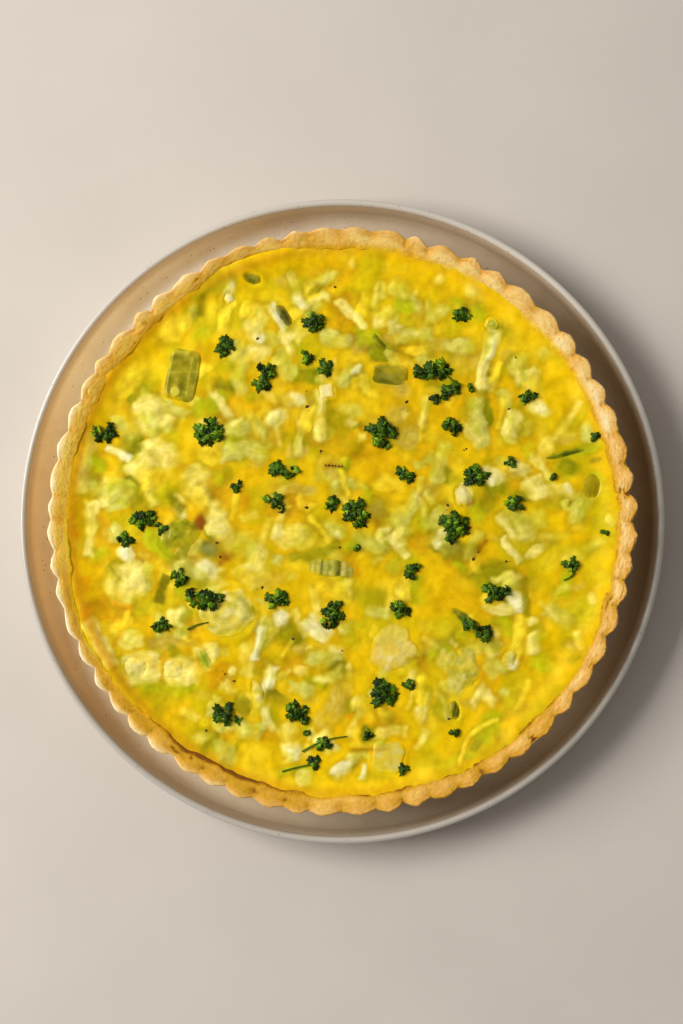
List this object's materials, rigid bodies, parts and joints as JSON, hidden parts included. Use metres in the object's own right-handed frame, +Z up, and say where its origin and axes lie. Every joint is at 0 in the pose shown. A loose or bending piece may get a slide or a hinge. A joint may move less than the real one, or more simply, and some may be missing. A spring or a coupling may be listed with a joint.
{
  "type": "leek quiche",
  "caption": "Round leek quiche: a fluted shortcrust case with a set egg filling and sunk leek and cheese pieces, in a shallow stoneware dish.",
  "frame": {"origin": "under the middle of the dish's foot ring, on the surface that the dish stands on", "axes": "+Z up, along the axis that the dish and the pastry case are round; +X towards the chunk broken from the case's edge, which is on the right from above"},
  "size_m": [0.2792, 0.2792, 0.04],
  "materials": {
    "dish_glaze": "satin cream glaze with fine brown speckles",
    "pastry": "baked shortcrust, dry and crumbly",
    "custard": "set egg custard with a moist sheen",
    "leek_green": "cooked green leek, moist",
    "leek_pale": "cooked pale leek, moist and translucent",
    "cheese": "melted cheese",
    "parsley": "fresh chopped curly parsley",
    "pepper": "ground black pepper"
  },
  "bodies": {
    "root": {"dish": "dish_glaze", "crust": "pastry", "filling": "custard", "leek_slab_1": "leek_green", "leek_slab_2": "leek_green", "leek_slab_3": "leek_green", "leek_slab_4": "leek_green", "leek_slab_5": "leek_green", "leek_disc_1": "leek_pale", "leek_disc_2": "leek_pale", "leek_disc_3": "leek_pale", "leek_disc_4": "leek_pale", "leek_oval_1": "leek_green", "leek_oval_2": "leek_green", "leek_oval_3": "leek_green", "leek_leaf_1": "leek_green", "leek_leaf_2": "leek_green", "leek_leaf_3": "leek_green", "leek_leaf_4": "leek_green", "leek_leaf_5": "leek_green", "leek_heart_1": "leek_pale", "leek_heart_2": "leek_pale", "leek_heart_3": "leek_pale", "cheese_lump_1": "cheese", "cheese_lump_2": "cheese", "cheese_lump_3": "cheese", "cheese_cube_1": "cheese"}
  },
  "joints": []
}
